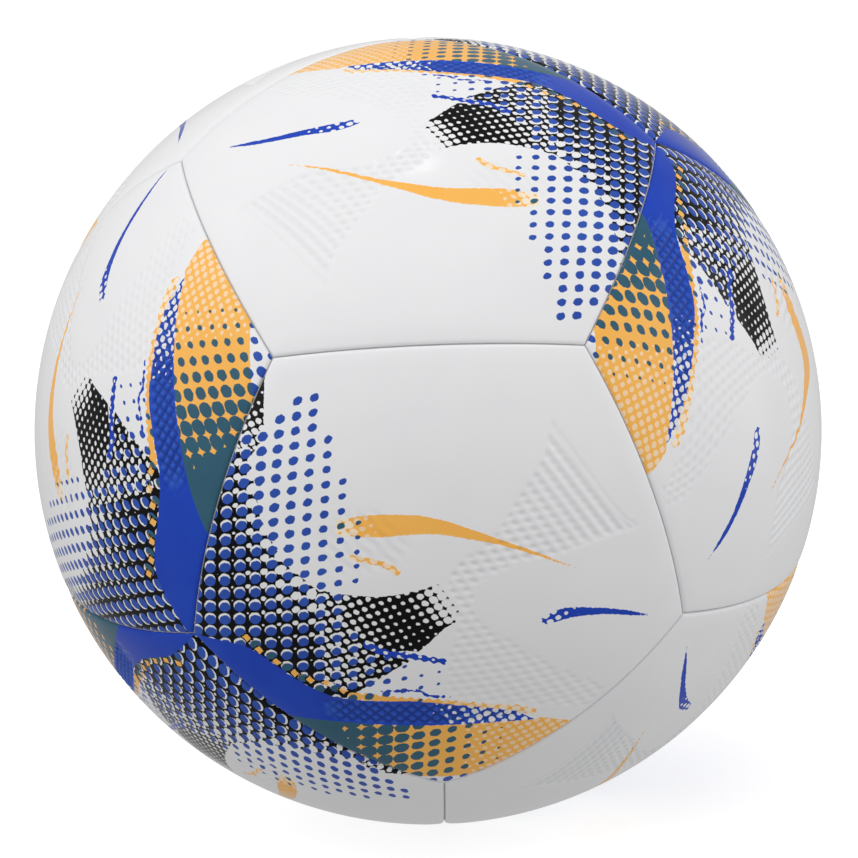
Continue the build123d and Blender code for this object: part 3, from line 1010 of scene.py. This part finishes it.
def studio():
    """A round pale floor whose far rim sweeps up into a backdrop. The sizes are in metres."""
    turns = np.linspace(0, math.pi / 2, RIM_STEPS + 1)
    profile = [(radius, 0.0) for radius in FLOOR_RING_RADII]
    profile += [(FLOOR_RADIUS + RIM_BEND * math.sin(t), RIM_BEND * (1 - math.cos(t))) for t in turns]
    around = np.arange(FLOOR_SEGMENTS) * 2 * math.pi / FLOOR_SEGMENTS
    shell = Shell()
    middle = shell.ring(np.array([(0, 0, FLOOR_Z)]))
    rings = []
    for radius, z in profile:
        level = np.full(FLOOR_SEGMENTS, FLOOR_Z + z)
        rings.append(shell.ring(np.stack([np.cos(around) * radius, np.sin(around) * radius, level], axis=1)))
    shell.fan(middle, rings[0])
    for near, far in zip(rings, rings[1:]):
        shell.strip(near, far)
    floor = new_mesh("studio_floor", np.concatenate(shell.points) / MM, np.concatenate(shell.faces))
    shader = Shader("pale_floor", Roughness=0.8, Emission_Color=(1, 1, 1, 1), Emission_Strength=0.68)
    mottle = shader.noise(scale=6, detail=3.0)
    shader.link("Base Color", shader.mix(mottle, linear(198, 198, 198), linear(204, 204, 204)))
    floor.data.materials.append(shader.material)
    floor.visible_diffuse = False
    floor.visible_glossy = False


def area_light(name, place, size, power):
    """A soft light that looks at the ball's middle."""
    lamp = bpy.data.lights.new(name, "AREA")
    lamp.shape = "RECTANGLE"
    lamp.size, lamp.size_y = size
    lamp.energy = power
    light = bpy.data.objects.new(name, lamp)
    light.location = place
    light.rotation_euler = (-Vector(place)).to_track_quat("-Z", "Y").to_euler()
    bpy.context.scene.collection.objects.link(light)


# Name, place and size in metres, and power in watts
SOFTBOXES = (
    ("left_softbox", (-1.20, -0.37, 0.83), (1.3, 1.3), 6.6),
    ("right_softbox", (1.45, -0.10, 0.28), (1.3, 1.3), 6.6),
    ("front_softbox", (0.0, -0.9, 1.2), (1.1, 0.7), 4.5),
    ("ceiling_softbox", (0.005, -0.05, 1.5), (0.18, 0.06), 1.6),
)
ROOM_LIGHT = 0.54  # brightness of the room at eye height
ROOM_SLOPE = (0.0, 0.0, 0.05)  # and how much brighter it is along +X, +Y and +Z


def lights():
    """A dim even room, large softboxes at the sides and above the camera, and a small one on the ceiling."""
    world = bpy.data.worlds.new("soft_room")
    world.use_nodes = True
    tree = world.node_tree
    place = tree.nodes.new("ShaderNodeTexCoord")
    slope = tree.nodes.new("ShaderNodeVectorMath")
    slope.operation = "DOT_PRODUCT"
    slope.inputs[1].default_value = ROOM_SLOPE
    level = tree.nodes.new("ShaderNodeMath")
    level.operation = "ADD"
    level.inputs[1].default_value = ROOM_LIGHT
    tree.links.new(place.outputs["Generated"], slope.inputs[0])
    tree.links.new(slope.outputs["Value"], level.inputs[0])
    background = tree.nodes["Background"]
    background.inputs["Color"].default_value = (1, 1, 1, 1)
    tree.links.new(level.outputs[0], background.inputs["Strength"])
    bpy.context.scene.world = world
    for softbox in SOFTBOXES:
        area_light(*softbox)


CAMERA_FROM = Vector((-0.0102, -0.9857, 0.1685)).normalized()  # from the ball's middle to the camera
CAMERA_UP = Vector((0.040, 0.168, 0.985))
CAMERA_DISTANCE = 0.803  # in metres
LENS = 131.6
SENSOR = 36.0
SHIFT = (0.0011, 0.0022)


def camera():
    data = bpy.data.cameras.new("camera")
    data.lens = LENS
    data.sensor_width = SENSOR
    data.shift_x, data.shift_y = SHIFT
    eye = bpy.data.objects.new("camera", data)
    side = CAMERA_UP.cross(CAMERA_FROM).normalized()
    up = CAMERA_FROM.cross(side)
    turn = Matrix((side, up, CAMERA_FROM)).transposed()
    eye.matrix_world = Matrix.Translation(CAMERA_FROM * CAMERA_DISTANCE) @ turn.to_4x4()
    bpy.context.scene.collection.objects.link(eye)
    bpy.context.scene.camera = eye


print_material = cover_material()
for number in range(1, len(PANELS) + 1):
    cover_panel(number, print_material)
finish_nodes()
studio()
lights()
camera()
bpy.context.scene.view_settings.view_transform = "Standard"
